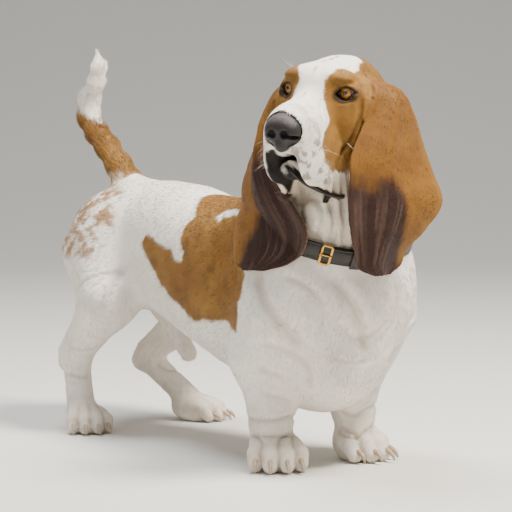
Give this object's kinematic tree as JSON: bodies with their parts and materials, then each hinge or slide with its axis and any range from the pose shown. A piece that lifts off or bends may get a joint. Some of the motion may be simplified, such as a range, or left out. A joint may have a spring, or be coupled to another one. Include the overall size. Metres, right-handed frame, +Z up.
{
  "type": "basset hound",
  "caption": "Basset hound standing still with its head turned to its right, long ears, tail raised, and a plain leather collar.",
  "frame": {"origin": "on the ground under the middle of the dog's bounding box", "axes": "the dog faces -Y, its left side is +X, +Z is up"},
  "size_m": [0.3174, 0.7948, 0.5493],
  "materials": {
    "white_coat": "short smooth fur",
    "tan_coat": "short smooth fur",
    "nose_leather": "damp pebbled skin",
    "eye": "wet gloss",
    "collar_leather": "satin",
    "brass": "polished"
  },
  "bodies": {
    "root": {"buckle": "brass", "chest": "white_coat", "collar": "collar_leather", "ear_left": "tan_coat", "ear_right": "tan_coat", "eye_left": "eye", "eye_right": "eye", "foreleg_left": "white_coat", "foreleg_right": "white_coat", "forepaw_left": "white_coat", "forepaw_right": "white_coat", "head": "white_coat", "hindleg_left": "white_coat", "hindleg_right": "white_coat", "hindpaw_left": "white_coat", "hindpaw_right": "white_coat", "loin": "white_coat", "lower_jaw": "white_coat", "neck": "white_coat", "nose": "nose_leather", "tail": "white_coat", "thigh_left": "white_coat", "thigh_right": "white_coat"}
  },
  "joints": []
}
